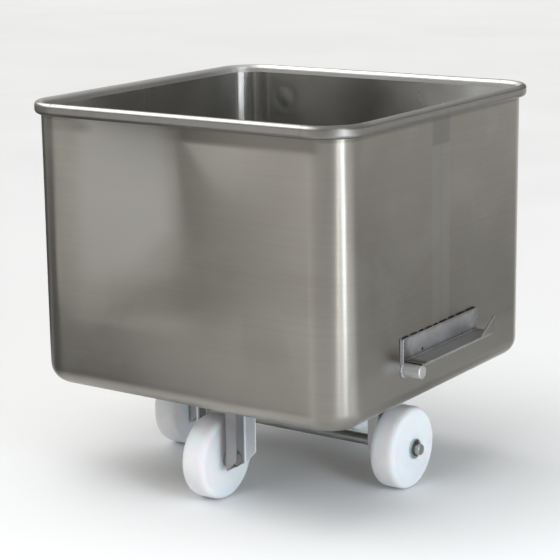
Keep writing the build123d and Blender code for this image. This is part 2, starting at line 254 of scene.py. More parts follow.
sky = bpy.data.lights.new("sky_fill", "SUN")
sky.energy, sky.angle = SUN_POWER, math.radians(SUN_ANGLE)
sky_lamp = bpy.data.objects.new("sky_fill", sky)
sky_lamp.rotation_euler = [math.radians(a) for a in SUN_TILT]
sky_lamp.visible_glossy = False
bpy.context.scene.collection.objects.link(sky_lamp)
world = bpy.data.worlds.new("studio")
bpy.context.scene.world = world
world.use_nodes = True
tree = world.node_tree
upward = add(tree, "SeparateXYZ", "Z", Vector=add(tree, "TexCoord", "Generated"))
height = add(tree, "MapRange", "Result", Value=upward, From_Min=HORIZON_AT, From_Max=ZENITH_AT)
ramp = add(tree, "ValToRGB", Fac=height)
for element, colour in zip(ramp.color_ramp.elements, (HORIZON, ZENITH)):
    element.color = colour
feed(tree.nodes["Background"].inputs["Color"], Field(ramp.outputs["Color"]))
print("sun, and a world from", HORIZON[0], "at the horizon to", ZENITH[0], "overhead")

# %% [markdown]
# ## Cloth that the steel reflects
# In a white room brushed steel turns white too, and its dents disappear. A photographer lays grey
# cloth on the floor outside the picture, so that parts of the steel mirror something darker. Here
# the cloth is a sheet just over the floor whose darkness is a value on its points. It is seen in
# reflections alone and casts no shadow, so the floor stays pale. Each length of cloth is a range
# of directions from a point beside the tub, and fades in with the distance from the walls.

# %% Lengths of grey cloth
CLOTH_REACH, CLOTH_STEPS, NEAR_REACH = 10.0, 240, 5.0
TUB_HALF = (0.325, 0.3275)
EDGE_AT, EDGE_WAY, EDGE_SOFT = (0.119, -0.80), math.radians(-59.6), 0.458


def ease(value, low, high):
    """Smooth step from 0 at low to 1 at high."""
    t = np.clip((np.asarray(value, float) - low) / (high - low), 0, 1)
    return t * t * (3 - 2 * t)


def sector(from_x, from_y, start, full, fade, end):
    """1 in a range of directions from a point: degrees, 0 to the front and positive to the right."""
    way = np.degrees(np.arctan2(cloth_x - from_x, from_y - cloth_y))
    return ease(way, start, full) * (1 - ease(way, fade, end))


spread = np.linspace(-CLOTH_REACH, CLOTH_REACH, CLOTH_STEPS + 1)
cloth_x, cloth_y = (a.ravel() for a in np.meshgrid(spread, spread))
away = np.hypot(*(np.maximum(np.abs(a) - half, 0) for a, half in zip((cloth_x, cloth_y), TUB_HALF)))
beyond = (cloth_x - EDGE_AT[0]) * math.cos(EDGE_WAY) + (cloth_y - EDGE_AT[1]) * math.sin(EDGE_WAY)
left_cloth = 0.91 * ease(-beyond, -EDGE_SOFT, EDGE_SOFT) * sector(-0.2, -0.2, -110, -75, 20, 40)
left_cloth *= ease(away, 0.0, 0.394)
back_cloth = 0.95 * ease(away, 0.7, 0.75) * sector(-0.2, -0.2, -178, -165, -100, -70)
right_cloth = np.clip(0.66 - 0.14 * (away - 1), 0.05, 0.95) * sector(0.3, 0.0, 92, 112, 166, 182)
right_cloth *= ease(away, 0.056, 0.912)
near_cloth = 0.10 + ease(cloth_x, 0.2, 0.4) * (0.18 + 0.32 * ease(cloth_y, 0.0, 0.3))
near_cloth *= 1 - ease(away, 0.08, 0.88)
front_cloth = 0.36 * sector(0.25, -0.3, -35, 0, 45, 58)
nearby = np.maximum(np.abs(cloth_x), np.abs(cloth_y)) <= NEAR_REACH
darkest = np.max([left_cloth, right_cloth, near_cloth, front_cloth], axis=0)
darkness = np.maximum(back_cloth, nearby * darkest)
print("cloth: darkest", round(darkness.max(), 2))

# %% Grey cloth
CLOTH_LIFT, CLOTH_COLOUR = 0.002, (0.03, 0.03, 0.03)


def grid_faces(rows, columns, wrap_rows=False, wrap_columns=False):
    """Four-sided faces of a grid of points that are numbered row by row."""
    index = np.arange(rows * columns).reshape(rows, columns)
    if wrap_rows:
        index = np.vstack([index, index[:1]])
    if wrap_columns:
        index = np.hstack([index, index[:, :1]])
    return np.stack([index[:-1, :-1], index[:-1, 1:], index[1:, 1:], index[1:, :-1]], -1).reshape(-1, 4)


cells = grid_faces(CLOTH_STEPS + 1, CLOTH_STEPS + 1).tolist()
grey_cloth = link_mesh("grey_cloth", np.c_[cloth_x, cloth_y, FLOOR_SLOPE * cloth_y + CLOTH_LIFT], cells)
tone = grey_cloth.data.attributes.new("darkness", "FLOAT", "POINT")
tone.data.foreach_set("value", darkness)
for way_seen in ("camera", "diffuse", "transmission", "volume_scatter", "shadow"):
    setattr(grey_cloth, "visible_" + way_seen, False)
cloth_look = bpy.data.materials.new("grey_cloth")
cloth_look.use_nodes = True
tree = cloth_look.node_tree
tree.nodes.remove(tree.nodes["Principled BSDF"])
amount = add(tree, "Attribute", "Fac", {"attribute_name": "darkness"})
clear = add(tree, "BsdfTransparent", "BSDF")
dark = add(tree, "BsdfDiffuse", "BSDF", Color=CLOTH_COLOUR)
blend_by = add(tree, "MixShader")
for socket, value in zip(blend_by.inputs, (amount, clear, dark)):
    feed(socket, value)
feed(tree.nodes["Material Output"].inputs["Surface"], Field(blend_by.outputs[0]))
grey_cloth.data.materials.append(cloth_look)
print("cloth:", len(cells), "cells")

# %% [markdown]
# ## The tub's skin
# Real sheet is never flat: the front wall has a long soft dent that starts as a sharp crease
# under the rim and fades towards the lower left corner. The flat solids can't show it, so one
# thin closed skin stands for the two shells and the floor pan. It is built as rings that follow
# the tub's outline, from the rim down the wall, round the bottom bend and in over the floor. The
# outline's corner centres come first, because a ring at any depth is then one line of arithmetic.

# %% Outline of the tub
CORNER, BEND, SHEET, CORNER_STEPS = 0.065, 0.034, 0.002, 18
shell_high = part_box("front_shell")[1]
rim_low, rim_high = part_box("rim_rear")
HALF_X, HALF_Y = shell_high.x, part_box("rear_shell")[1].y
FLOOR_Z, WELD_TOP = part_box("floor_pan")[0].z, shell_high.z
CORE_X, CORE_Y = HALF_X - CORNER, HALF_Y - CORNER
RIM_HALF = (rim_high.y - rim_low.y) / 2
RIM_Z = (rim_low.z + rim_high.z) / 2
RIM_STRAIGHT = (rim_high.z - rim_low.z) / 2 - RIM_HALF
SKIN_TOP = RIM_Z - RIM_STRAIGHT

sides = (
    ("front", (-CORE_X, -CORE_Y), (CORE_X, -CORE_Y), -90, 132),
    ("right", (CORE_X, -CORE_Y), (CORE_X, CORE_Y), 0, 84),
    ("rear", (CORE_X, CORE_Y), (-CORE_X, CORE_Y), 90, 120),
    ("left", (-CORE_X, CORE_Y), (-CORE_X, -CORE_Y), 180, 84),
)
stations = []
for side, start, end, heading, steps in sides:
    for t in np.linspace(0, 1, steps + 1)[:-1]:
        stations.append((side, *(np.array(start) * (1 - t) + np.array(end) * t), heading))
    for turn in np.linspace(0, 90, CORNER_STEPS + 1)[:-1]:
        stations.append(("corner", *end, heading + turn))
side_of = np.array([s[0] for s in stations])
core = np.array([s[1:3] for s in stations])
facing = np.radians([s[3] for s in stations])
outward = np.stack([np.cos(facing), np.sin(facing)], 1)
print("outline:", len(stations), "stations round the tub")

# %% [markdown]
# ## The dent and the waves
# The dent could be sculpted by hand, but a height map in code gives the same result on every run.
# At each height the wall falls in a curve from the left corner to the crease and climbs back to
# the right. The crease moves left on its way down, and slows softly before the corner. A blur that
# widens downwards turns the sharp fold at the top into a soft hollow. The other walls get waves of
# a fraction of a millimetre, and the rear wall a small ring mark.

# %% Dent of the front wall
DENT_SLOPE, DENT_FADE, DENT_RISE = 0.085, (0.272, 0.442), 0.077
CREASE_TOP, CREASE_SWEEP, CREASE_DROP, CREASE_FOOT = -0.0047, 0.166, 0.045, 0.340
FOOT_SOFT, FALL_POWER, CLIMB_POWER = 0.040, 1.30, 1.44
FOLD_BLUR, ADDED_BLUR, BLUR_RANGE = 0.0054, 0.0236, (0.05, 0.33)
DENT_STEPS, BLUR_STEPS, TINY = 521, 90, 1e-6


def front_dent(x, z):
    """How far the front wall stands out at x on a row at height z. The dent is negative."""
    grid = np.linspace(-CORE_X, CORE_X, DENT_STEPS)
    crease = CREASE_TOP - CREASE_SWEEP * math.exp(-(z - CREASE_FOOT) / CREASE_DROP)
    room = FOOT_SOFT * math.log1p(math.exp((crease + CORE_X) / FOOT_SOFT))
    crease = room - CORE_X
    down = max(WELD_TOP - z, 0.0)
    depth = DENT_SLOPE * room * float(ease(z, *DENT_FADE)) * (1 - math.exp(-down / DENT_RISE))
    fall = 1 - np.clip((crease - grid) / max(room, TINY), 0, 1) ** FALL_POWER
    climb = np.clip(1 - (grid - crease) / (CORE_X - crease), 0, 1) ** CLIMB_POWER
    shape = -depth * np.where(grid < crease, fall, climb)
    blur = FOLD_BLUR + ADDED_BLUR * ease(down, *BLUR_RANGE)
    reach = np.arange(-BLUR_STEPS, BLUR_STEPS + 1) * (grid[1] - grid[0])
    kernel = np.exp(-0.5 * (reach / blur) ** 2)
    padded = np.pad(shape, BLUR_STEPS, mode="edge")
    return np.interp(x, grid, np.convolve(padded, kernel / kernel.sum(), mode="valid"))


print("dent at mid height:", round(1000 * front_dent(np.linspace(-CORE_X, CORE_X), 0.50).min(), 1), "mm")

# %% Height map of the walls
WAVE, WAVE_LOW, WAVE_RIM, WAVE_EDGE = 0.0006, (0.235, 0.33), (0.0, 0.09), (0.0, 0.10)
FRONT_CALM = 0.7
RING_MARK, RING_R, RING_WIDTH, RING_MIDDLE = (-0.223, 0.638), 0.021, 0.006, 0.009
RING_HEIGHT, RING_DIP = 0.00025, 0.0004


def wall_height(z):
    """How far the wall stands out of true at every station of a row."""
    x, y = (core + outward * CORNER).T
    front = side_of == "front"
    out = np.zeros(len(stations))
    out[front] = front_dent(x[front], z)
    held = float(ease(z, *WAVE_LOW) * ease(WELD_TOP - z, *WAVE_RIM))
    faces_x = np.abs(outward[:, 0]) > 0.5
    along = np.where(faces_x, y, x)
    span = np.where(faces_x, CORE_Y, CORE_X)
    free = np.where(side_of == "corner", 0.0, ease(span - np.abs(along), *WAVE_EDGE))
    wave = np.sin(along * 9.0 + z * 7.0 + facing * 2.0) + 0.6 * np.sin(along * 17.0 - z * 11.0 + facing)
    out += WAVE * held * free * wave * (1 - FRONT_CALM * front)
    ring = np.hypot(x - RING_MARK[0], z - RING_MARK[1])
    mark = RING_HEIGHT * np.exp(-(((ring - RING_R) / RING_WIDTH) ** 2))
    mark -= RING_DIP * np.exp(-((ring / RING_MIDDLE) ** 2))
    return out + np.where(side_of == "rear", mark, 0.0)


print("wall stands out of true by up to", round(1000 * np.abs(wall_height(0.50)).max(), 1), "mm")

# %% Rings of the skin
WALL_ROWS, BEND_ROWS = 84, 10
PAN_SCALES, PAN_SAG, PAN_WAVES = (0.93, 0.8, 0.6, 0.35, 0.12), 0.0012, 5.0
LEFT_TOP, LEFT_MORE, LEFT_BELOW, LEFT_DROP = 0.0024, 0.0022, 0.66, 0.4
NEAR_LEFT, NEAR_FRONT = (0.12, 0.27), (0.15, 0.27)


def spread_left(flat, z):
    """How far the front left corner stands out to the left of true."""
    near = ease(-flat[:, 0], *NEAR_LEFT) * ease(-flat[:, 1], *NEAR_FRONT)
    return near * (LEFT_TOP + LEFT_MORE * ease(LEFT_BELOW - z, 0.0, LEFT_DROP))


def skin_rows(thick):
    """Rings of the skin from the rim to the middle of the floor, a distance inside the outer face."""
    rings = []
    for z in np.linspace(SKIN_TOP, FLOOR_Z + BEND, WALL_ROWS + 1):
        rings.append((thick - wall_height(z), z))
    for angle in np.linspace(0, math.pi / 2, BEND_ROWS + 1)[1:]:
        inset = BEND - (BEND - thick) * math.cos(angle)
        rings.append((np.full(len(core), inset), FLOOR_Z + BEND - (BEND - thick) * math.sin(angle)))
    rows = []
    for inset, z in rings:
        flat = core + outward * (CORNER - inset)[:, None]
        flat[:, 0] -= spread_left(flat, z)
        rows.append(np.c_[flat, np.full(len(flat), z)])
    edge = rows[-1]
    for scale in PAN_SCALES:
        ring = edge * (scale, scale, 1)
        sag = PAN_SAG * np.cos(ring[:, 0] * PAN_WAVES) * np.cos(ring[:, 1] * PAN_WAVES)
        ring[:, 2] -= sag * (1 - scale)
        rows.append(ring)
    return np.array(rows)


outer, inner = skin_rows(0.0), skin_rows(SHEET)
row_count, column_count = outer.shape[:2]
print("skin:", row_count, "rings of", column_count, "points on each face")

# %% Skin mesh
SHARP = math.radians(40)
shift = row_count * column_count
outside = grid_faces(row_count, column_count, wrap_columns=True)[:, [0, 3, 2, 1]]
first = np.arange(column_count)
after, last = np.roll(first, -1), first + shift - column_count
rim_faces = np.stack([first, after, after + shift, first + shift], -1)
skin_faces = np.concatenate([outside, outside[:, ::-1] + shift, rim_faces]).tolist()
skin_faces += [last[::-1].tolist(), (last + shift).tolist()]
tub_skin = link_mesh("tub_skin", np.concatenate([outer.reshape(-1, 3), inner.reshape(-1, 3)]), skin_faces)
tub_skin.data.set_sharp_from_angle(angle=SHARP)
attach(tub_skin, "tub")
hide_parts("front_shell", "rear_shell", "floor_pan")
print("skin:", len(tub_skin.data.polygons), "faces")

# %% [markdown]
# ## Weld beads
# A weld is a row of frozen ripples. A plain tube would look like wire, so each bead is a swept
# tube whose thickness swells and shrinks along its path, and most of it lies inside the steel it
# joins. One helper makes them all: along a path, round a joint, or as a row of short stitches.

# %% Bead helper
BEAD_SIDES, BEAD_STEP = 10, 0.0012
FLUTTER, BEAD_TIP = 2900, 0.02
ASKEW = np.array((0.31, 0.52, 0.79))


def bead(name, path, radius, ripple, pitch, closed=False, slot="lug_steel"):
    """A weld bead along a path of points, with ripples at a pitch along it."""
    path = np.array(path, float)
    ahead = np.roll(path, -1, axis=0) if closed else np.vstack([path[1:], 2 * path[-1] - path[-2]])
    behind = np.roll(path, 1, axis=0) if closed else np.vstack([2 * path[0] - path[1], path[:-1]])
    tangent = ahead - behind
    tangent /= np.linalg.norm(tangent, axis=1)[:, None]
    run = np.concatenate([[0], np.cumsum(np.linalg.norm(np.diff(path, axis=0), axis=1))])
    across = np.cross(tangent, ASKEW)
    across /= np.linalg.norm(across, axis=1)[:, None]
    over = np.cross(across, tangent)
    size = 1 + ripple * np.sin(2 * math.pi * run / pitch) + 0.5 * ripple * np.sin(run * FLUTTER + 1)
    size = radius * size
    if not closed:
        end = np.minimum(run, run[-1] - run)
        size = size * np.sqrt(np.clip(end / radius, BEAD_TIP, 1))
    angles = np.linspace(0, 2 * math.pi, BEAD_SIDES, endpoint=False)[:, None]
    around = np.cos(angles) * across[:, None] + np.sin(angles) * over[:, None]
    points = (path[:, None] + size[:, None, None] * around).reshape(-1, 3)
    faces = grid_faces(len(path), BEAD_SIDES, closed, True).tolist()
    if not closed:
        cap = range(BEAD_SIDES)
        faces += [cap[::-1], [(len(path) - 1) * BEAD_SIDES + k for k in cap]]
    piece = link_mesh(name, points, faces)
    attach(piece, "tub")
    return piece


def line(start, end):
    """Points from start to end, a step apart."""
    count = max(int(np.linalg.norm(np.subtract(end, start)) / BEAD_STEP), 2)
    return np.linspace(start, end, count)


print("bead helper ready")

# %% Welds of the lugs
LUG_SHEET, STOP_LENGTH, STOP_HEIGHT, STOP_OUT = 0.004, 0.047, 0.0275, 0.0396
# Radius, ripple and pitch of each kind of bead.
END_BEAD, ROOT_BEAD, FRONT_BEAD = (0.0015, 0.12, 0.0075), (0.0030, 0.2, 0.006), (0.0022, 0.12, 0.005)
BURR, CORNER_BEAD = (0.0011, 0.05, 0.02), (0.0026, 0.10, 0.006)
STITCH_BEAD, REAR_BEAD = (0.0018, 0.25, 0.005), (0.0024, 0.18, 0.006)
STITCH_ENDS, STITCH_GAP = (0.0, 0.026, 0.055, 0.078, 0.105, 0.125, 0.158, 0.186, 0.222, 0.2585), 0.004

weld_beads, soot_beads = [], []
for side, sign in (("right", 1), ("left", -1)):
    low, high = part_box("lug_" + side)
    pin_low, pin_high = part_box("lug_pin_" + side)
    pin_y, pin_z = (pin_low.y + pin_high.y) / 2, (pin_low.z + pin_high.z) / 2
    root_r = (pin_high.z - pin_low.z) / 2 + 0.0008
    shelf_z, front_y = low.z + LUG_SHEET, pin_y + 0.001

    def at(out, y, z):
        """A point at a distance out from this side's wall."""
        return sign * HALF_X + sign * out, y, z

    for part, out in (("wall", 0.0004), ("edge", 0.0042)):
        path = line(at(out, low.y - 0.0004, low.z - 0.001), at(out, low.y - 0.0004, high.z + 0.0005))
        weld_beads.append(bead(f"lug_end_weld_{side}_{part}", path, *END_BEAD))
    turns = np.linspace(math.radians(100), math.radians(330), 60)
    path = [at(0.0006, pin_y + root_r * math.cos(a), pin_z + root_r * math.sin(a)) for a in turns]
    weld_beads.append(bead(f"pin_root_weld_{side}", path, *ROOT_BEAD))
    path = line(at(0.005, front_y, low.z + 0.0005), at(0.036, front_y, low.z + 0.0005))
    soot_beads.append(bead(f"shelf_pin_weld_{side}", path, *FRONT_BEAD))
    path = line(at(STOP_OUT, high.y - STOP_LENGTH, shelf_z), at(STOP_OUT, high.y, shelf_z + STOP_HEIGHT))
    weld_beads.append(bead(f"stop_burr_{side}", path, *BURR))
    path = [at(0.0365 + 0.0025 * math.sin(1.5 * t), front_y + 0.024 * t, low.z + 0.0012 + 0.0016 * t)
            for t in np.linspace(0, 1, 24)]
    weld_beads.append(bead(f"shelf_corner_weld_{side}", path, *CORNER_BEAD))
    for k, (a, b) in enumerate(zip(STITCH_ENDS[:-1], STITCH_ENDS[1:])):
        path = line(at(0.001, low.y + a + STITCH_GAP, high.z + 0.0004),
                    at(0.001, low.y + b - STITCH_GAP, high.z + 0.0004))
        soot_beads.append(bead(f"lug_stitch_{side}_{k}", path, *STITCH_BEAD))
    path = line(at(0.0012, high.y + 0.0006, shelf_z), at(0.0012, high.y + 0.0006, high.z))
    weld_beads.append(bead(f"lug_rear_weld_{side}", path, *REAR_BEAD))
print("lug welds:", len(weld_beads), "beads and", len(soot_beads), "stitches")

# %% Joints of the rim
JOINT_SINK, JOINT_BEAD = 0.0005, (0.00085, 0.16, 0.0115)
rim_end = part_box("rim_right_front")[1]
RIM_X, RIM_Y, SEAM_Y = rim_end.x - RIM_HALF, rim_high.y - RIM_HALF, rim_end.y


def rim_loop(at, flat):
    """A closed path round the rim's section at a joint, sunk a little into the tube."""
    reach = RIM_HALF - JOINT_SINK
    turn = np.linspace(0, math.pi, 30)
    arc = np.stack([reach * np.cos(turn), RIM_STRAIGHT + reach * np.sin(turn)], 1)
    half = np.vstack([arc, line(arc[-1], arc[-1] * (1, -1))[1:-1]])
    ring = np.vstack([half, -half])
    return np.array(at) + ring[:, :1] * np.array(flat) + ring[:, 1:] * np.array((0, 0, 1))


rim_joints = []
for sign in (-1, 1):
    for end in (-1, 1):
        rim_joints.append(((sign * CORE_X, end * RIM_Y, RIM_Z), (0, 1, 0)))
        rim_joints.append(((sign * RIM_X, end * CORE_Y, RIM_Z), (1, 0, 0)))
    rim_joints.append(((sign * RIM_X, SEAM_Y, RIM_Z), (1, 0, 0)))
rim_beads = [
    bead(f"rim_joint_{k}", rim_loop(*joint), *JOINT_BEAD, closed=True, slot="rim_steel")
    for k, joint in enumerate(rim_joints)
]
print("rim joints:", len(rim_beads))

# %% Welds under the tub
CUT_BACK, LEG_BEAD = 0.004, (0.0026, 0.18, 0.005)
under_beads = []
for name in ("front_leg_left", "front_leg_right", "rear_leg_left", "rear_leg_right",
             "bracket_left", "bracket_right"):
    low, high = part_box(name)
    outside_x, back_x = high.x, low.x
    if name.startswith("bracket") == ("right" in name):
        outside_x, back_x = low.x, high.x
    corners = [(outside_x, low.y), (back_x, low.y), (back_x, high.y), (outside_x, high.y)]
    if name.endswith("leg_left"):
        flange_y = high.y if high.y < 0 else low.y
        cut_y = math.copysign(abs(END_WHEEL_Y) - CUT_BACK, low.y)
        corners = [(back_x, cut_y), (back_x, flange_y), (outside_x, flange_y)]
    path = np.concatenate([line((*p, high.z), (*q, high.z)) for p, q in zip(corners[:-1], corners[1:])])
    moved = np.linalg.norm(np.diff(path, axis=0), axis=1) > TINY
    under_beads.append(bead(f"{name}_weld", path[np.r_[True, moved]], *LEG_BEAD, slot="leg_steel"))
print("welds under the tub:", len(under_beads))

# %% [markdown]
# ## The wheels
# The wheels are cast nylon: round shoulders, a flat tread and a hub a little proud of the face.
# A lathe profile turned in small steps gives softer light on the shoulders than the solid's
# facets. Each disc has one small oval mark where the nylon went into the mould.

# %% Section of a wheel
SHOULDER_STEPS, SECTION_STEP = 25, 0.0025
WHEEL_FACE, HUB_R, FACE_R, BORE_R, EASED = 0.025, 0.042, 0.060, 0.015, 0.0012
TREAD_POWER, SHOULDER_POWER = 4.5, 3.0


def wheel_profile(hub, outer_r):
    """Section of a wheel as distance along the axle and radius, fine on the hub's faces."""
    turn = np.linspace(0, math.pi / 2, SHOULDER_STEPS)
    x = WHEEL_FACE * np.abs(np.cos(turn)) ** (2 / TREAD_POWER)
    r = FACE_R + (outer_r - FACE_R) * np.sin(turn) ** (2 / SHOULDER_POWER)
    x[-1] = 0.0
    face = [(hub, HUB_R), *zip(x, r)]
    other = [(-along, radius) for along, radius in face[-2::-1]]
    bore = [(EASED - hub, BORE_R), (hub - EASED, BORE_R), (hub, BORE_R + EASED)]
    section = np.array([*bore, *face, *other, (-hub, BORE_R + EASED)])
    fine = []
    for p, q in zip(section, np.roll(section, -1, axis=0)):
        pieces = max(int(np.linalg.norm(q - p) / SECTION_STEP), 1)
        fine += [p + (q - p) * t for t in np.linspace(0, 1, pieces, endpoint=False)]
    return np.array(fine)


print("wheel section ready")

# %% Wheels
TURN_STEPS = 144
# Each gate mark by its distance from the axle and its angle.
GATE_MARKS = {"right": (0.0370, 190.9), "left": (0.0370, 60.0), "front": (0.0279, 196.9),
              "rear": (0.0300, 20.0)}
GATE_DEPTH, GATE_WIDE, GATE_LONG, GATE_FROM = 0.0006, 0.0030, 0.0055, 0.020

wheels = []
for which, (mark_r, mark_angle) in GATE_MARKS.items():
    low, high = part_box("wheel_" + which)
    centre = (low + high) / 2
    section = wheel_profile((high.x - low.x) / 2, (high.z - low.z) / 2)
    angles = np.linspace(0, 2 * math.pi, TURN_STEPS, endpoint=False)[:, None]
    along = np.repeat(section[None, :, 0], TURN_STEPS, 0)
    y, z = section[:, 1] * np.cos(angles), section[:, 1] * np.sin(angles)
    a = math.radians(mark_angle)
    u = y * math.cos(a) + z * math.sin(a) - mark_r
    v = z * math.cos(a) - y * math.sin(a)
    dimple = GATE_DEPTH * np.exp(-((u / GATE_WIDE) ** 2 + (v / GATE_LONG) ** 2))
    along = along - np.sign(along) * dimple * (np.abs(along) > GATE_FROM)
    points = np.stack([along + centre.x, y + centre.y, z + centre.z], -1).reshape(-1, 3)
    faces = grid_faces(TURN_STEPS, len(section), True, True).tolist()
    wheel = link_mesh(f"nylon_wheel_{which}", points, faces)
    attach(wheel, f"{which}_wheel")
    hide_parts(f"wheel_{which}")
    wheels.append(wheel)
print("wheels:", len(wheels), "of", len(wheels[0].data.polygons), "faces")

# %% [markdown]
# ## Shared effects as node groups
# Several finishes use the same marks: lines of a brush, clouds of handling marks, the colours of
# heat beside a weld, bright worn edges and darker, rougher inner corners. Each is built once as a
# shader node group and placed in a material with its own values, so that one change reaches all
# of them.

# %% Brush lines


def node_group(name, inputs, **outputs):
    """An empty shader node group. Returns its tree, its inputs as fields and its output sockets."""
    tree = bpy.data.node_groups.new(name, "ShaderNodeTree")
    for label, kind, value in inputs:
        socket = tree.interface.new_socket(label, in_out="INPUT", socket_type="NodeSocket" + kind)
        if value is not None:
            socket.default_value = value
    for label, kind in outputs.items():
        tree.interface.new_socket(label, in_out="OUTPUT", socket_type="NodeSocket" + kind)
    start, end = tree.nodes.new("NodeGroupInput"), tree.nodes.new("NodeGroupOutput")
    return tree, {s.name: Field(s) for s in start.outputs if s.name}, end.inputs


brush, given, result = node_group(
    "brush_lines", [("Vector", "Vector", None)], Lines="Float", Bands="Float")
fine_lines, broad_bands = (
    add(brush, "TexNoise", "Fac", Vector=given["Vector"], Scale=scale, Detail=2.0, Roughness=0.5)
    for scale in (1.0, 0.13))
feed(result["Lines"], stretch(fine_lines, 0.15, 0.85))
feed(result["Bands"], stretch(broad_bands, 0.20, 0.80))
print("group:", brush.name)

# %% Handling marks
SPECKS_FINER = 14.0
clouds, given, result = node_group(
    "handling_marks", [("Vector", "Vector", None), ("Scale", "Float", 6.0)],
    Clouds="Float", Specks="Float")
soft = add(clouds, "TexNoise", "Fac", **given, Detail=3.0, Roughness=0.55, Distortion=0.6)
speck = add(clouds, "TexNoise", "Fac", Vector=given["Vector"], Scale=given["Scale"] * SPECKS_FINER,
            Detail=2.0, Roughness=0.6)
feed(result["Clouds"], stretch(soft, 0.34, 0.66))
feed(result["Specks"], stretch(speck, 0.66, 0.76))
print("group:", clouds.name)

# %% Heat colours
SCALE_GREY, FAR_GREY = (0.10, 0.095, 0.09, 1), (0.40, 0.39, 0.37, 1)
BLUE, BROWN, STRAW = (0.20, 0.21, 0.26, 1), (0.34, 0.24, 0.15, 1), (0.46, 0.40, 0.28, 1)
heat, given, result = node_group(
    "heat_colours", [("Distance", "Float", 1.0)], Colour="Color", Amount="Float")
bands = add(heat, "ValToRGB", Fac=given["Distance"])
bands.color_ramp.elements[0].color = SCALE_GREY
for spot, heated in ((0.30, BLUE), (0.52, BROWN), (0.74, STRAW)):
    bands.color_ramp.elements.new(spot).color = heated
bands.color_ramp.elements[-1].color = FAR_GREY
feed(result["Colour"], Field(bands.outputs["Color"]))
feed(result["Amount"], stretch(given["Distance"], 1.0, 0.25))
print("group:", heat.name)

# %% Worn edges
HOLLOW_REACH = 3.0
edges, given, result = node_group("worn_edges", [("Radius", "Float", 0.002)], Edge="Float")
bevel = add(edges, "Bevel", "Normal", {"samples": 4}, Radius=given["Radius"])
turned = add(edges, "VectorMath", settings={"operation": "DOT_PRODUCT"})
for socket, normal in zip(turned.inputs, (bevel, add(edges, "NewGeometry", "Normal"))):
    feed(socket, normal)
hollow = add(edges, "AmbientOcclusion", "AO", {"samples": 4, "only_local": True},
             Distance=given["Radius"] * HOLLOW_REACH)
sharp = stretch(Field(turned.outputs["Value"]), 0.995, 0.80)
feed(result["Edge"], sharp * stretch(hollow, 0.80, 0.95))
print("group:", edges.name)

# %% Darker inner corners
# Darker, browner and rougher in inner corners, found by ambient occlusion.
dark_corners, given, result = node_group("darker_corners", [("Reach", "Float", 0.006)], Grime="Float")
shut_in = add(dark_corners, "AmbientOcclusion", "AO", {"samples": 6, "only_local": True}, Distance=given["Reach"])
feed(result["Grime"], stretch(shut_in, 0.88, 0.50))
print("group:", dark_corners.name)

# %% [markdown]
# ## A steel to start from
# Every steel on the trolley is a Principled BSDF at full Metallic. What differs is how it was
# worked: brushed sheet, polished tube, rolled mill finish or turned bar. So one helper lays the
# brush lines in the direction of the work, adds handling marks and a fine bump, and hands back
# the pieces that a finish may want to change. Two more lay a colour or a roughness over it.

# %% Material helpers
BUMP_DEPTH = 0.0004


def new_material(name, **values):
    """A node material with plain sockets of its Principled BSDF set. Returns its tree and shader too."""
    material = bpy.data.materials.new(name)
    material.use_nodes = True
    shader = material.node_tree.nodes["Principled BSDF"]
    for key, value in values.items():
        feed(shader.inputs[key.replace("_", " ")], value)
    return material, material.node_tree, shader


def place(tree, group, take=None, **values):
    """A node group placed in a material. Returns the output to take, or the node."""
    return add(tree, "Group", take, {"node_tree": group}, **values)


def fine_bump(shader, strength, height):
    """A fine bump from a height field."""
    bump = add(height.tree, "Bump", "Normal", Strength=strength, Distance=BUMP_DEPTH, Height=height)
    feed(shader.inputs["Normal"], bump)


print("material helpers ready")

# %% Steel helper
LINE_SHARE, MARK_SHARE = 0.30, 0.70


def steel(name, light, dark, rough, brush_scale, cloud_scale, bump, rough_swing=0.08, **values):
    """A worked steel. brush_scale is how fast the lines change along X, Y and Z."""
    material, tree, shader = new_material(name, Metallic=1.0, **values)
    where = add(tree, "TexCoord", "Object")
    strokes = place(tree, brush, Vector=add(tree, "Mapping", "Vector", Vector=where, Scale=brush_scale))
    lines, bands = (Field(strokes.outputs[k]) for k in ("Lines", "Bands"))
    marks = place(tree, clouds, "Clouds", Vector=where, Scale=cloud_scale)
    colour = mix_colours(lines * LINE_SHARE + marks * MARK_SHARE, dark, light)
    roughness = bands * rough_swing + (marks * rough_swing + rough)
    fine_bump(shader, bump, lines)
    feed(shader.inputs["Base Color"], colour)
    feed(shader.inputs["Roughness"], roughness)
    x, y, z = (Field(s) for s in add(tree, "SeparateXYZ", Vector=where).outputs)
    return SimpleNamespace(material=material, tree=tree, shader=shader, colour=colour, roughness=roughness,
                           marks=marks, x=x, y=y, z=z)


def tint(finish, mask, colour):
    """Lay a colour over a finish where a mask is 1."""
    finish.colour = mix_colours(mask, finish.colour, colour)
    feed(finish.shader.inputs["Base Color"], finish.colour)


def roughen(finish, more):
    """Add a field to the roughness of a finish."""
    finish.roughness = finish.roughness + more
    feed(finish.shader.inputs["Roughness"], finish.roughness)


print("steel helper ready")
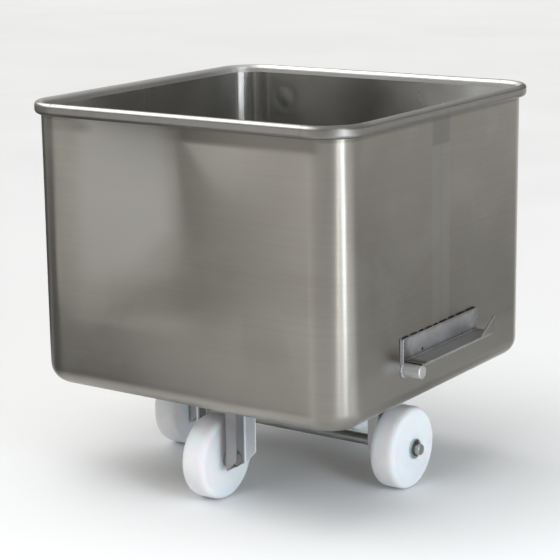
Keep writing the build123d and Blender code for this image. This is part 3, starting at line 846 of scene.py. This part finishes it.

# %% [markdown]
# ## Brushed wall sheet
# The walls were brushed in level strokes, so a highlight on them is drawn out up and down.
# Anisotropy does that: its rotation of a quarter turn lays the wide side of the highlight across
# the strokes. The two shells meet at a butt weld on each side wall that was ground flush, which
# leaves a paler upright band and a dull patch close under the rim. A dark band of painted shade
# runs under the rim, deepest on the right half of the front wall.

# %% Wall sheet and its seams
STROKES, ACROSS_STROKES = (2.5, 2.5, 240), 0.25
SIDE_FROM = HALF_X - 0.006
# Colour of the painted shade under the rim.
UNDER_RIM_SHADE = (0.200, 0.190, 0.165)
wall_finish = steel("brushed_wall", (0.390, 0.369, 0.330), (0.322, 0.304, 0.271), 0.275, STROKES, 5.0, 0.0,
                    rough_swing=0.02, Anisotropic=0.68, Anisotropic_Rotation=ACROSS_STROKES)
x, y, z = wall_finish.x, wall_finish.y, wall_finish.z
on_side = abs(x) > SIDE_FROM
seam_off = abs(y - SEAM_Y)
seam_band = stretch(seam_off, 0.034, 0.026) * on_side
seam_line = stretch(seam_off, 0.0035, 0.0005) * on_side
under_rim = seam_band * stretch(z, 0.627, 0.634)
tint(wall_finish, seam_band * 0.22, (0.50, 0.49, 0.47))
tint(wall_finish, seam_line * 0.25, (0.30, 0.29, 0.28))
tint(wall_finish, under_rim * 0.45, (0.22, 0.21, 0.20))
roughen(wall_finish, seam_band * 0.05)
# Painted shade: a dark band under the rim, deepest on the right half of the front wall.
end_wall_rim_shade = stretch(abs(y), HALF_Y - 0.030, HALF_Y - 0.012)
end_wall_rim_shade = end_wall_rim_shade * stretch(z, WELD_TOP - 0.032, WELD_TOP - 0.020)
end_wall_rim_shade = end_wall_rim_shade * stretch(x, CORE_X + 0.030, CORE_X + 0.008)
front_right = (y < 0.0) * stretch(x, -0.005, 0.020, 0.0, 0.70)
rim_shade_band = stretch(z, WELD_TOP - 0.011, WELD_TOP - 0.007, 0.0, 0.55)
tint(wall_finish, maths("MAXIMUM", end_wall_rim_shade * (front_right + 0.25), rim_shade_band), UNDER_RIM_SHADE)
print("wall sheet with seams and smoky bands")

# %% [markdown]
# ## Painted light and shade on the walls
# The wall's colour is painted lighter and darker in places, as painted light and shade. The front
# wall is painted darker at the right and paler at the left of the fold, as far as a slanting edge
# that softens on its way down. A pale wedge of painted light opens beside the fold, the hollow at
# the dent's foot is painted dark as shade, and the lowest parts of the front and side walls are
# painted pale. A spot of painted shadow sits under the rim at the left, and a bluish haze of painted
# reflection beside the lug's weld.

# %% Painted light and shade on the wall
on_front = (y < 0.08 - HALF_Y) * stretch(abs(x), CORE_X + 0.04, CORE_X)
mid_height = stretch(z, 0.34, 0.42) * stretch(z, 0.62, 0.54)
# Painted shade on the right part of the front wall.
painted_shade_right = on_front * stretch(x, -0.02, 0.17, 0.0, 0.26) * mid_height
tint(wall_finish, painted_shade_right, (0.273, 0.258, 0.231))
sinking = maths("MAXIMUM", 0.50 - z, 0.0) * 1.33
slant = (x - 0.005 + sinking * 0.30) / (sinking * 12.0 + 1.0)
# Painted light on the left of the fold, up to a slanting edge.
painted_light_left = stretch(x, -0.24, -0.19) * stretch(slant, 0.0, -0.06) * on_front
tint(wall_finish, painted_light_left * stretch(z, 0.36, 0.45, 0.0, 0.80), (0.440, 0.424, 0.398))
# Painted light on the lowest parts of the front and side walls.
painted_light_low = on_front * stretch(x, -0.15, 0.0) * stretch(z, 0.34, 0.26, 0.0, 0.55)
painted_light_low = painted_light_low * stretch(x, 0.25, 0.15, 0.4, 1.0)
painted_light_side = on_side * stretch(z, 0.205, 0.230) * stretch(z, 0.290, 0.262, 0.0, 0.60)
tint(wall_finish, maths("MAXIMUM", painted_light_low, painted_light_side), (0.442, 0.420, 0.378))
# Painted light in a wedge beside the fold.
opening = maths("MAXIMUM", 0.66 - z, 0.0) * 0.5
painted_light_wedge = stretch((x - opening) / (opening + 0.020), 0.0, 1.0) * stretch(z, 0.52, 0.635)
painted_light_wedge = painted_light_wedge * stretch(x, 0.22, 0.03) * stretch(z, 0.655, 0.648)
tint(wall_finish, painted_light_wedge * on_front, (0.472, 0.449, 0.404))
# Painted shadow: a dark spot under the rim at the left of the front wall.
painted_shadow_spot = on_front * patch(x, z, (-0.205, 0.664), (0.040, 0.018), 0.55)
tint(wall_finish, painted_shadow_spot, UNDER_RIM_SHADE)
# Painted shade in the hollow at the dent's foot.
painted_shade_hollow = on_front * patch(x, z, (0.060, 0.385), (0.125, 0.095), 0.45, full=0.1)
tint(wall_finish, painted_shade_hollow, (0.174, 0.164, 0.146))
lug_low, lug_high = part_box("lug_right")
# Painted reflection: a pale bluish haze beside the lug's weld.
painted_reflection_haze = on_side * patch(y, z, (lug_low.y - 0.032, lug_low.z + 0.002), (0.050, 0.018), 0.45)
tint(wall_finish, painted_reflection_haze, (0.56, 0.59, 0.66))
print("rubbed areas on the wall sheet")

# %% [markdown]
# ## Inside and floor of the tub
# Inside, the sheet is smoother, and its colour is painted brighter than outside as painted light.
# It turns darker towards the bottom, the rear wall is rubbed towards the right, and two fine bright
# lines of painted highlight mark the edges of the ground seam. One skin carries all three sheet
# finishes, so each face gets its own by place.

# %% Inside and floor materials
pan_finish = steel("brushed_floor", (0.40, 0.385, 0.355), (0.33, 0.315, 0.29), 0.30, (4, 380, 4), 6.0,
                   0.05)
# Painted light: the inside sheet is a brighter copy of the wall steel.
inside_finish = steel("brushed_inside", (0.805, 0.80, 0.78), (0.715, 0.71, 0.69), 0.15, STROKES, 6.0, 0.0,
                      rough_swing=0.03, Anisotropic=0.5, Anisotropic_Rotation=ACROSS_STROKES)
x, y, z = inside_finish.x, inside_finish.y, inside_finish.z
rubbed = (y > HALF_Y - 0.02) * stretch(x, -0.05, 0.28, 0.0, 0.20)
in_corner = stretch(abs(x + (CORE_X + 0.0522)), 0.0055, 0.0015)
in_corner = in_corner * stretch(y, CORE_Y + 0.010, CORE_Y + 0.020, 0.0, 0.16)
roughen(inside_finish, rubbed + in_corner)
on_side = abs(x) > SIDE_FROM
# Painted highlights: two fine bright bluish lines at the edges of the ground seam.
for edge_y in (SEAM_Y + 0.006, SEAM_Y + 0.021):
    seam_edge_highlight = on_side * stretch(abs(y - edge_y), 0.0045, 0.0005, 0.0, 0.35)
    tint(inside_finish, seam_edge_highlight, (0.93, 0.95, 1.0))
    roughen(inside_finish, seam_edge_highlight * 0.10)
# Darker and rougher towards the bottom.
darker_below = stretch(z, 0.47, 0.36)
tint(inside_finish, darker_below * 0.90, (0.335, 0.330, 0.316))
roughen(inside_finish, darker_below * 0.15)
print("inside and floor finishes")

# %% Finishes on the skin
WALL, PAN, INSIDE = range(3)
PAN_FROM, PAN_LEVEL = FLOOR_Z + 0.006, 0.75
for finish in (wall_finish, pan_finish, inside_finish):
    tub_skin.data.materials.append(finish.material)
skin_polygons = tub_skin.data.polygons
for face in skin_polygons:
    if len(outside) <= face.index < 2 * len(outside) or face.index == len(skin_polygons) - 1:
        face.material_index = INSIDE
    elif face.center.z < PAN_FROM and abs(face.normal.z) > PAN_LEVEL:
        face.material_index = PAN
print("inside faces:", sum(face.material_index == INSIDE for face in skin_polygons))

# %% [markdown]
# ## Polished rim, mill-finish lugs and turned bars
# The rim tube was polished round and round, so no strokes show on it. Its joints were welded and
# ground, and beside each one the tube keeps a little heat colour. Its inner half is duller, and is
# painted paler as painted light; the crowns of the side rims are painted lighter too. The lugs and
# legs are rolled sheet as it came from the mill: bluish, cloudy, with bright edges. Axles and pins
# are turned bar.

# %% Heat, edges and dark corners
CORNER_DARK, CORNER_ROUGH = (0.10, 0.085, 0.065), 0.25


def with_heat(finish, distance, offset, amount):
    """Lay heat colours over a finish, by a distance that is 0 at the weld and 1 past the heat."""
    spot = place(finish.tree, heat, Distance=maths("ADD", distance, offset, clamp=True))
    tint(finish, Field(spot.outputs["Amount"]) * amount, Field(spot.outputs["Colour"]))


def with_edges(finish, radius, bright, amount):
    """Lay bright worn edges over a finish."""
    tint(finish, place(finish.tree, edges, "Edge", Radius=radius) * amount, bright)


def with_dark_corners(finish, reach, amount):
    """Make a finish darker, browner and rougher in its inner corners."""
    darkening = place(finish.tree, dark_corners, "Grime", Reach=reach) * amount
    tint(finish, darkening, CORNER_DARK)
    roughen(finish, darkening * CORNER_ROUGH)


def nearest(a, b, c):
    """The smallest of three fields."""
    return maths("MINIMUM", maths("MINIMUM", a, b), c)


print("heat, edges and grime ready")

# %% Rim material
END_HEAT, SEAM_HEAT, JOINT_NEAR = 60.0, 42.0, 0.03
rim_finish = steel("polished_rim", (0.315, 0.305, 0.288), (0.275, 0.266, 0.25), 0.31, (40, 40, 40), 9.0,
                   0.02, rough_swing=0.04)
x, y = abs(rim_finish.x), abs(rim_finish.y)
not_end, not_side = y < RIM_Y - JOINT_NEAR, x < RIM_X - JOINT_NEAR
end_joint = abs(x - CORE_X) * END_HEAT + not_end
side_joint = abs(y - CORE_Y) * END_HEAT + not_side
seam_joint = abs(rim_finish.y - SEAM_Y) * SEAM_HEAT + not_side
with_heat(rim_finish, nearest(end_joint, side_joint, seam_joint), 0.25, 0.25)
past_x, past_y = (maths("MAXIMUM", past, 0.0) for past in (x - CORE_X, y - CORE_Y))
ring_r = maths("SQRT", past_x * past_x + past_y * past_y)
# Painted light: the rim's inner half is painted paler; it is also rougher.
inner_half = stretch(ring_r, RIM_X - CORE_X + 0.001, RIM_X - CORE_X - 0.004)
tint(rim_finish, inner_half * 0.9, (0.66, 0.65, 0.63))
roughen(rim_finish, inner_half * 0.16)
# Painted light: the crowns of the side rims are painted lighter.
flank = stretch(y, CORE_Y + 0.02, CORE_Y - 0.02)
crown = stretch(rim_finish.z, RIM_Z + RIM_STRAIGHT, RIM_Z + RIM_STRAIGHT + 0.6 * RIM_HALF)
tint(rim_finish, flank * (crown * 0.55), (0.62, 0.61, 0.59))

# %% Lug material
lug_finish = steel("mill_lug", (0.62, 0.63, 0.655), (0.49, 0.495, 0.515), 0.36, (60, 14, 60), 26.0, 0.06,
                   rough_swing=0.10)
x, y, z = abs(lug_finish.x), lug_finish.y, lug_finish.z
from_front, from_rear = (y - lug_low.y) * 26.0, (lug_high.y - y) * 32.0
from_top = (lug_high.z - z) * 120.0 + 0.1
ragged = (lug_finish.marks - 0.5) * 0.35
with_heat(lug_finish, nearest(from_front, from_rear, from_top), ragged, 0.45)
with_edges(lug_finish, 0.0020, (0.70, 0.69, 0.67), 0.7)
with_dark_corners(lug_finish, 0.010, 0.85)
stop_face = stretch(x, lug_high.x - 0.0005, lug_high.x - 0.0001)
stop_face = stop_face * stretch(z, lug_low.z + 0.003, lug_low.z + 0.005, 0.0, 0.85)
tint(lug_finish, stop_face, (0.36, 0.345, 0.32))
shelf_off = abs(z - (lug_low.z + LUG_SHEET))
on_shelf = stretch(shelf_off, 0.0010, 0.0004) * stretch(x, HALF_X + 0.005, HALF_X + 0.007)
tint(lug_finish, on_shelf * 0.55, (0.40, 0.385, 0.36))
# The shelf is darker towards its front end.
dark_shelf_end = on_shelf * stretch(y, lug_low.y + 0.034, lug_low.y + 0.014, 0.0, 0.8)
tint(lug_finish, dark_shelf_end, (0.10, 0.088, 0.070))
burnt_spot = patch(y, z, (lug_low.y + 0.0655, lug_low.z + 0.012), (0.0045, 0.0042), 0.85, full=0.5)
tint(lug_finish, burnt_spot, (0.05, 0.045, 0.04))
print("lug finish")

# %% Plain steels
# Light and dark colour, roughness, brush lines along X, Y and Z, scale of the clouds, bump, and the
# swing of the roughness where it is not the usual one.
PLAIN_STEELS = {
    "mill_leg": ((0.60, 0.605, 0.615), (0.50, 0.505, 0.515), 0.42, (60, 60, 8), 18.0, 0.05),
    "mill_fork": ((0.44, 0.44, 0.445), (0.35, 0.35, 0.355), 0.42, (60, 60, 8), 18.0, 0.05),
    "bright_weld": ((0.60, 0.61, 0.63), (0.42, 0.425, 0.44), 0.32, (160, 160, 160), 60.0, 0.25, 0.12),
    "sooty_weld": ((0.10, 0.095, 0.085), (0.03, 0.028, 0.025), 0.42, (220, 220, 220), 70.0, 0.35, 0.12),
    "turned_bar": ((0.52, 0.52, 0.51), (0.38, 0.38, 0.37), 0.30, (300, 10, 10), 16.0, 0.05),
    "bright_bar": ((0.78, 0.78, 0.77), (0.68, 0.68, 0.67), 0.42, (300, 10, 10), 22.0, 0.05),
    "spring_ring": ((0.24, 0.24, 0.245), (0.13, 0.13, 0.135), 0.30, (90, 90, 90), 60.0, 0.05),
    "plain_washer": ((0.62, 0.62, 0.62), (0.50, 0.50, 0.50), 0.32, (90, 90, 90), 50.0, 0.05),
    "ground_roller": ((0.74, 0.74, 0.75), (0.64, 0.64, 0.65), 0.14, (60, 300, 300), 40.0, 0.03),
}
# Radius, colour and amount of the worn edges.
WORN_EDGES = {
    "mill_leg": (0.0010, (0.66, 0.66, 0.65), 0.5), "mill_fork": (0.0010, (0.66, 0.66, 0.65), 0.5),
    "bright_bar": (0.0010, (0.74, 0.74, 0.73), 0.7), "spring_ring": (0.0004, (0.50, 0.50, 0.50), 0.6),
}
plain = {name: steel(name, *row) for name, row in PLAIN_STEELS.items()}
fork_finish = plain["mill_fork"]
from_axle = abs(fork_finish.y) - abs(END_WHEEL_Y)
# Painted reflection: the fork legs' inner flanges are painted bluish white and made mostly non-metallic,
# so they look lit by bluish light.
tint(fork_finish, stretch(from_axle, -0.020, -0.027) * 0.85, (0.92, 0.96, 1.0))
feed(fork_finish.shader.inputs["Metallic"], stretch(from_axle, -0.027, -0.020, 0.10, 1.0))
for name, row in WORN_EDGES.items():
    with_edges(plain[name], *row)
print("plain steels:", ", ".join(plain))

# %% [markdown]
# ## White nylon
# Cast nylon is milky: light goes in a little way and comes out softened. A small Subsurface
# weight gives that. Faint clouds in the colour, a fine orange-peel bump and a trace of floor
# dirt on the tread keep it from looking like paper. The bearing cages and the pale floor are
# plain materials with the same faint clouds.

# %% Nylon, cage and floor materials
DIRT, DIRT_AMOUNT, PEEL_SCALE, PEEL_BUMP = (0.55, 0.54, 0.51), 0.18, 120.0, 0.08


def clouded(name, scale, dark, light, roughness, **values):
    """A plain material with faint clouds in its colour and its roughness."""
    material, tree, shader = new_material(name, **values)
    where = add(tree, "TexCoord", "Object")
    marks = place(tree, clouds, Vector=where, Scale=scale)
    cloudy, specks = (Field(marks.outputs[k]) for k in ("Clouds", "Specks"))
    feed(shader.inputs["Roughness"], stretch(cloudy, 0.0, 1.0, *roughness))
    finish = SimpleNamespace(material=material, tree=tree, shader=shader, where=where, specks=specks,
                             colour=dark)
    tint(finish, cloudy, light)
    return finish


nylon = clouded("cast_nylon", 14.0, (0.81, 0.83, 0.85), (0.84, 0.86, 0.88), (0.46, 0.58),
                Subsurface_Weight=0.7, Subsurface_Scale=0.025, Specular_IOR_Level=0.35)
tint(nylon, nylon.specks * DIRT_AMOUNT, DIRT)
grain = place(nylon.tree, clouds, "Clouds", Vector=nylon.where, Scale=PEEL_SCALE)
fine_bump(nylon.shader, PEEL_BUMP, grain)
cage = clouded("cage_plastic", 40.0, (0.72, 0.70, 0.62), (0.80, 0.78, 0.70), (0.38, 0.5))
paper = clouded("pale_floor", 0.7, (0.90, 0.90, 0.90), (0.92, 0.92, 0.92), (0.75, 0.85),
                Specular_IOR_Level=0.1)
print("nylon, cage plastic and pale floor")

# %% [markdown]
# ## Dressing the pieces
# The remaining solids already have the right shape, so they keep their meshes and only take a
# finish. A short table from the start of a node's name to its finish does all of them. The made
# pieces are dressed by their lists.

# %% Dress the pieces
# Each row: a finish and the starts of the names of the nodes that take it.
DRESSED_NODES = (
    (rim_finish, "rim_"), (lug_finish, "lug_left", "lug_right"), (plain["bright_bar"], "lug_pin"),
    (plain["mill_leg"], "pad_", "bracket"), (fork_finish, "front_leg", "rear_leg"),
    (plain["turned_bar"], "main_axle", "front_axle", "rear_axle"),
    (plain["plain_washer"], "front_spacers", "rear_spacers", "axle_washers"),
    (plain["spring_ring"], "retaining_rings"), (cage, "roller_cage"), (plain["ground_roller"], "rollers"),
)
dressing = [
    (finish, [node for name, node in nodes.items() if name.startswith(tuple(starts))])
    for finish, *starts in DRESSED_NODES
]
dressing += [
    (rim_finish, rim_beads), (plain["bright_weld"], weld_beads + under_beads),
    (plain["sooty_weld"], soot_beads), (nylon, wheels), (paper, [floor]),
]
for finish, pieces in dressing:
    for piece in pieces:
        piece.data.materials.clear()
        piece.data.materials.append(finish.material)
    print(finish.material.name, "on", len(pieces))
